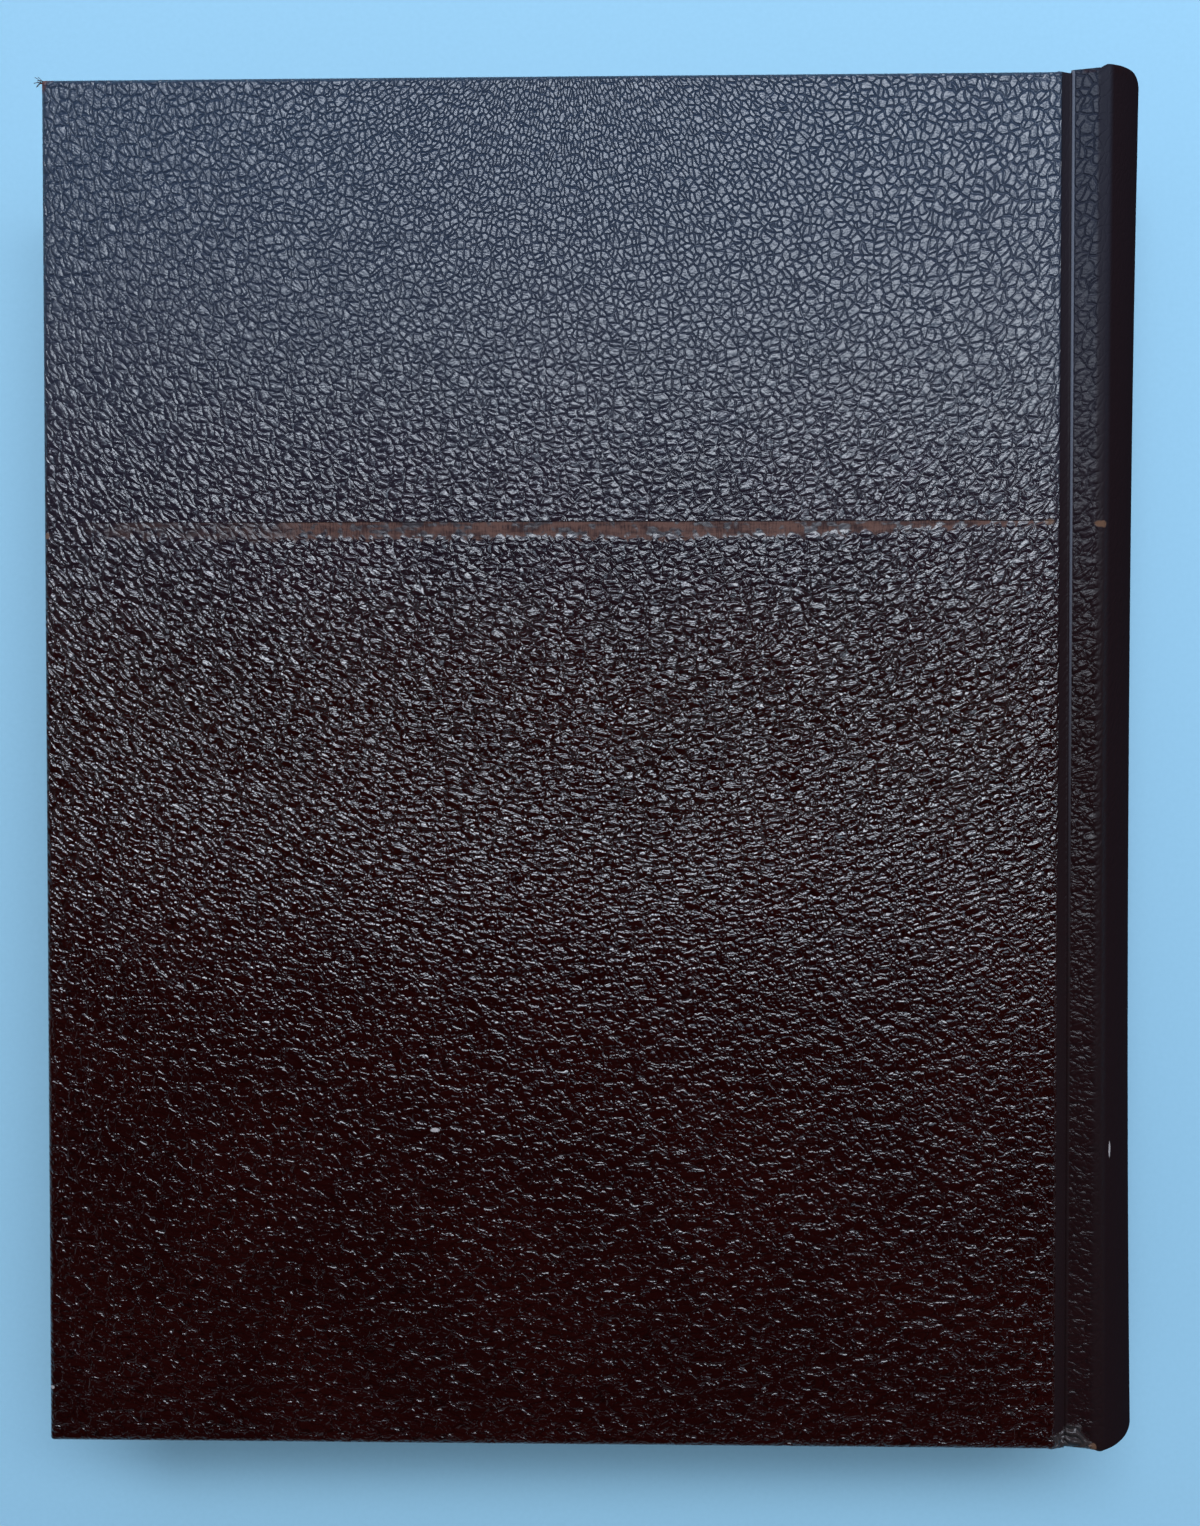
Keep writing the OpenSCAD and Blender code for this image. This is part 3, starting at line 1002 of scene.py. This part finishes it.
def leavesRecipe(nodes, given):
    pitch = given["pile"] / given["leaves"]
    size = nodes.joined(1.0, given["height"], pitch * given["fill"])
    inputs = {"Size": size, "Vertices X": given["columns"], "Vertices Y": 2, "Vertices Z": 2}
    leaf = nodes.add("GeometryNodeMeshCube", {}, inputs)
    first = nodes.joined(0.0, 0.0, (given["leaves"] - 1) * pitch * -0.5)
    inputs = {"Count": given["leaves"], "Start Location": first, "Offset": nodes.joined(0.0, 0.0, pitch)}
    pile = nodes.add("GeometryNodeMeshLine", {"mode": "OFFSET"}, inputs)
    sheets = nodes.add("GeometryNodeInstanceOnPoints", {}, {"Points": pile, "Instance": leaf})
    sheets = nodes.add("GeometryNodeRealizeInstances", {}, {0: sheets})
    x, y, z = nodes.add("GeometryNodeInputPosition").parts()
    number = (z / pitch).math("ROUND")
    level = number * pitch
    share = level / (given["pile"] * 0.5)
    uneven = []
    for shift in (0, 1):
        inputs = {2: -1.0, 3: 1.0, "ID": number + 500, "Seed": given["seed"] + shift}
        odd = nodes.add("FunctionNodeRandomValue", {"data_type": "FLOAT"}, inputs, 1)
        uneven.append(odd * given["uneven"])
    radius = given["spineRadius"]
    endLevel = level + share * share * share * share.abs() * given["shoulderRise"]
    endX = (radius * radius - endLevel * endLevel).math("SQRT") - 0.03
    startX = (radius * radius - level * level).math("SQRT") - given["width"] + uneven[0].abs()
    along = 1 - (0.5 - x) ** given["curve"]
    newX = startX + (endX - startX) * along
    rise = ((newX - given["shoulderAt"] + 0.3) / (endX - given["shoulderAt"]) * 1.7)
    newZ = z + (endLevel - level) * rise.ramp(0, 1)
    newY = y + uneven[1] * y.math("SIGN")
    moved = nodes.joined((newX - middleX) * 0.001, newY * 0.001, (newZ + halfThick) * 0.001)
    return nodes.add("GeometryNodeSetPosition", {}, {"Geometry": sheets, "Position": moved})


leaves = geometryPiece("leafBlock", leafSizes, leavesRecipe, stuff["leafEdges"])
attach(leaves, "text_block")
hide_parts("leaves")
print("leaves are made")

# The headbands: silk wound round a core, with a row of beads against the leaves

bandSizes = {
    "radius": leavesR - book["headband"] / 4,
    "halfAngle": math.radians(book["headbandHalfAngle"]),
    "core": 0.72,
    "thread": 0.19,
    "windings": 88,
    "beadR": 0.27,
    "beads": 60,
}


def bandRecipe(side):
    def recipe(nodes, given):
        def arc(radius, level, count):
            start = given["halfAngle"] * -1
            sweep = given["halfAngle"] * 2
            inputs = {"Resolution": 96, "Radius": radius, "Start Angle": start, "Sweep Angle": sweep}
            line = nodes.add("GeometryNodeCurveArc", {"mode": "RADIUS"}, inputs)
            inputs = {"Geometry": line, "Rotation": (math.pi / 2, 0, 0), "Translation": (0, level, 0)}
            line = nodes.add("GeometryNodeTransform", {}, inputs)
            inputs = {"Curve": line, "Count": count}
            return line, nodes.add("GeometryNodeCurveToPoints", {"mode": "COUNT"}, inputs)

        def ring(corners, radius):
            inputs = {"Resolution": corners, "Radius": radius}
            return nodes.add("GeometryNodeCurvePrimitiveCircle", {}, inputs)

        def swept(curve, profile, capped):
            inputs = {"Curve": curve, "Profile Curve": profile, "Fill Caps": capped}
            return nodes.add("GeometryNodeCurveToMesh", {}, inputs)

        def spread(points, piece):
            inputs = {"Points": points, "Instance": piece, "Rotation": points.output("Rotation")}
            return nodes.add("GeometryNodeInstanceOnPoints", {}, inputs)

        core, thread = given["core"], given["thread"]
        level = side * (book["leafHeight"] + book["headband"]) / 2
        line, points = arc(given["radius"], level, given["windings"])
        windings = spread(points, swept(ring(14, core + thread), ring(6, thread), False))
        cord = swept(line, ring(16, core + thread * 0.6), True)
        points = arc(given["radius"] - core - thread, level - side * 0.75, given["beads"])[1]
        inputs = {"Radius": given["beadR"], "Subdivisions": 2}
        beads = spread(points, nodes.add("GeometryNodeMeshIcoSphere", {}, inputs))
        band = nodes.add("GeometryNodeJoinGeometry", {}, {0: windings})
        for part in (cord, beads):
            nodes.tree.links.new(part.socket, band.socket.node.inputs[0])
        band = nodes.add("GeometryNodeSetShadeSmooth", {}, {0: band})
        band = nodes.add("GeometryNodeRealizeInstances", {}, {0: band})
        origin = tuple(placed((0, 0, 0)).tolist())
        inputs = {"Geometry": band, "Translation": origin, "Scale": (0.001, 0.001, 0.001)}
        return nodes.add("GeometryNodeTransform", {}, inputs)

    return recipe


for name, side in (("head", 1), ("tail", -1)):
    band = geometryPiece(name + "Headband", bandSizes, bandRecipe(side), silk)
    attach(band, "text_block")
    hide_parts(name + "_band")
print("headbands are made")

# Loose fibres at the frayed corner of the back cover

fibreSizes = {
    "fibres": 9,
    "thick": 0.085,
    "long": 1.7,
    "corner": (-117.45, 144.55, 41.15),
    "spread": 0.55,
    "seed": 3,
}


def fibreRecipe(nodes, given):
    def chance(low, high, shift):
        inputs = {0: low, 1: high, "Seed": given["seed"] + shift}
        return nodes.add("FunctionNodeRandomValue", {"data_type": "FLOAT_VECTOR"}, inputs, 0)

    inputs = {"Count": given["fibres"], "Start Location": given["corner"], "Offset": (0, 0, 0)}
    points = nodes.add("GeometryNodeMeshLine", {"mode": "OFFSET"}, inputs)
    inputs = {0: chance((-1, -1, -1.3), (1, 1, 0.6), 0), "Scale": given["spread"]}
    reach = nodes.add("ShaderNodeVectorMath", {"operation": "SCALE"}, inputs)
    points = nodes.add("GeometryNodeSetPosition", {}, {"Geometry": points, "Offset": reach})
    long = given["long"]
    inputs = {
        "Resolution": 9,
        "Start": (0, 0, 0),
        "Middle": nodes.joined(long * 0.6, 0.0, long * 0.1),
        "End": nodes.joined(long * 0.9, long * 0.45, long * 0.2),
    }
    strand = nodes.add("GeometryNodeCurveQuadraticBezier", {}, inputs)
    ring = nodes.add("GeometryNodeCurvePrimitiveCircle", {}, {"Resolution": 6, "Radius": given["thick"]})
    inputs = {"Curve": strand, "Profile Curve": ring, "Fill Caps": True}
    strand = nodes.add("GeometryNodeCurveToMesh", {}, inputs)
    inputs = {
        "Points": points,
        "Instance": strand,
        "Rotation": chance((-0.4, -0.5, 1.9), (0.5, 0.35, 3.1), 1),
        "Scale": chance((0.5, 0.4, 0.5), (1.0, 1.3, 1.0), 2),
    }
    tuft = nodes.add("GeometryNodeInstanceOnPoints", {}, inputs)
    tuft = nodes.add("GeometryNodeRealizeInstances", {}, {0: tuft})
    return nodes.add("GeometryNodeTransform", {}, {"Geometry": tuft, "Scale": (0.001, 0.001, 0.001)})


fibres = geometryPiece("cornerFibres", fibreSizes, fibreRecipe, stuff["frayedHide"])
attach(fibres, "back_cover")
print("corner fibres are made")

finishes = {
    "millboardGrey": ("front_board", "back_board"),
    "infillCard": ("front_infill", "back_infill", "spine_stiffener"),
    "mullCloth": ("spine_lining",),
    "linenTape": tuple(f"sewing_tape_{n}" for n in range(1, 6)),
}
for finish, solids in finishes.items():
    for solid in solids:
        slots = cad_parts[solid].data.materials
        slots.clear()
        slots.append(stuff[finish])

# Floor, light and camera


stage = {
    "reach": 3.0,
    "fade": (420, 1300),
    "paper": ((0.204, 0.372, 0.486, 1), (0.220, 0.400, 0.520, 1)),
    "backdrop": (0.34, 0.64, 0.90, 1),
    "fill": (0.90, 0.95, 1.0, 1),
    "fillStrength": 0.40,
    "mirroredStrength": 0.0,
}


def floorRecipe(nodes):
    # Pale blue paper, which fades into the backdrop far from the book
    place = nodes.place()
    x, y, z = place.parts()
    far = ((x * x + y * y) ** 0.5).ramp(*stage["fade"])
    near = nodes.surface(nodes.mixed(nodes.noise(place, 1.2, 2), *stage["paper"]), 0.8, 0.3)
    return nodes.blended(far, near, nodes.light("ShaderNodeEmission", stage["backdrop"], 1.0))


floorMesh = bpy.data.meshes.new("floor")
reach = stage["reach"]
corners = [(-reach, -reach, 0), (reach, -reach, 0), (reach, reach, 0), (-reach, reach, 0)]
floorMesh.from_pydata(corners, [], [(0, 1, 2, 3)])
floorMesh.materials.append(newMaterial("palePaperFloor", floorRecipe))
floor = bpy.data.objects.new("floor", floorMesh)
scene.collection.objects.link(floor)


def softLight(name, place, target, size, power, colour):
    data = bpy.data.lights.new(name, "AREA")
    data.shape, data.size, data.size_y = "RECTANGLE", size[0], size[1]
    data.energy, data.color = power, colour
    lamp = bpy.data.objects.new(name, data)
    lamp.location = place
    lamp.rotation_euler = (Vector(target) - Vector(place)).to_track_quat("-Z", "Y").to_euler()
    lamp.visible_camera = False
    scene.collection.objects.link(lamp)


# Name, place, point it faces, size, power and colour; the windows stand beyond the head
for light in (
    ("highGlow", (0.26, 0.46, 1.25), (0.14, 0.1, 0), (1.8, 0.55), 9.8, (0.62, 0.80, 1.0)),
    ("windowHigh", (0.18, 0.70, 1.18), (0.06, 0, 0), (1.3, 0.26), 18.5, (0.86, 0.90, 0.97)),
    ("windowLow", (0.06, 0.98, 1.00), (0, 0, 0), (1.3, 0.50), 6, (0.62, 0.72, 0.94)),
    # Faint panels low at the sides keep the grain in sight from other angles
    ("lowFront", (0.0, -1.5, 0.48), (0, 0, 0.05), (2.4, 0.7), 1.8, (0.75, 0.86, 1.0)),
    ("lowLeft", (-1.5, 0.0, 0.48), (0, 0, 0.05), (2.0, 0.7), 1.8, (0.75, 0.86, 1.0)),
    ("lowRight", (1.5, 0.0, 0.48), (0, 0, 0.05), (2.0, 0.7), 1.8, (0.75, 0.86, 1.0)),
):
    softLight(*light)

world = bpy.data.worlds.new("studio")
scene.world = world
world.use_nodes = True
world.node_tree.nodes.clear()
air = Nodes(world.node_tree)
rays = air.add("ShaderNodeLightPath")
fill = air.light("ShaderNodeBackground", stage["fill"], stage["fillStrength"])
mirrored = air.light("ShaderNodeBackground", stage["fill"], stage["mirroredStrength"])
seen = air.light("ShaderNodeBackground", stage["backdrop"], 1.0)
lit = air.blended(rays.output("Is Glossy Ray"), fill, mirrored)
air.add("ShaderNodeOutputWorld", {}, {"Surface": air.blended(rays.output("Is Camera Ray"), lit, seen)})

# The camera is solved from the corners of the cover in the photo
cameraFit = {
    "place": (0.0053033, 0.0053160, 0.3248665),
    "turn": (0.01650366, -0.0176481, -0.00021348),
    "focal": 1340 / 1526,
    "sensor": 36,
    "clipStart": 0.01,
}
turn = Vector(cameraFit["turn"])
cameraData = bpy.data.cameras.new("camera")
cameraData.sensor_fit = "VERTICAL"
cameraData.sensor_height = cameraFit["sensor"]
cameraData.lens = cameraFit["sensor"] * cameraFit["focal"]
cameraData.clip_start = cameraFit["clipStart"]
camera = bpy.data.objects.new("camera", cameraData)
turned = Matrix.Rotation(-turn.length, 4, turn.normalized())
camera.matrix_world = Matrix.Translation(cameraFit["place"]) @ turned
scene.collection.objects.link(camera)
scene.camera = camera
print("floor, light and camera are set")

bpy.context.view_layer.update()
